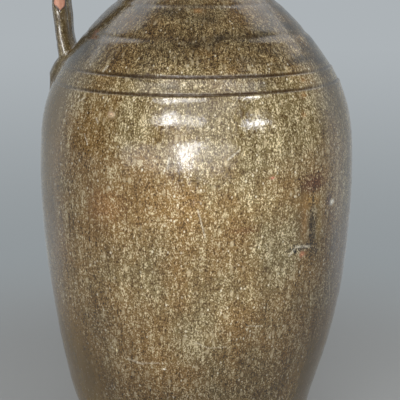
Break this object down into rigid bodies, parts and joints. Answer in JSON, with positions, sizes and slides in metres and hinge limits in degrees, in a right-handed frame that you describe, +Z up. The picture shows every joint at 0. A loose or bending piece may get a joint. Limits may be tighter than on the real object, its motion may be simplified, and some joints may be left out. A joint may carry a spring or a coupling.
{
  "type": "stoneware jug",
  "caption": "Large ovoid stoneware jug with a narrow rolled-lip neck, a pulled strap handle, turned rings round the shoulder, an olive-brown glaze and a tapered cork.",
  "frame": {"origin": "centre of the flat foot, where the jug stands", "axes": "+Z up along the jug's axis; the handle stands over -X"},
  "size_m": [0.2719, 0.272, 0.4764],
  "materials": {
    "clay": "bare fired stoneware, fine grained and dull",
    "wall_glaze": "glossy olive-brown glaze with dense cream and dark flecks",
    "handle_glaze": "the same glaze, thinner on the strap, with a bare salmon patch",
    "liner_glaze": "plain dark brown slip glaze",
    "cork": "natural cork, pitted"
  },
  "bodies": {
    "jug": {"lower_section": "clay", "upper_section": "clay", "neck": "clay", "strap_handle": "clay", "lower_terminal": "clay", "upper_terminal": "clay", "outer_glaze": "wall_glaze", "handle_glaze": "handle_glaze", "liner_glaze": "liner_glaze"},
    "cork": {"cork_stopper": "cork"}
  },
  "joints": [
    {"name": "cork_lift", "type": "slide", "parent": "jug", "child": "cork", "axis": [0, 0, 1], "range_m": [0, 0.06]}
  ]
}
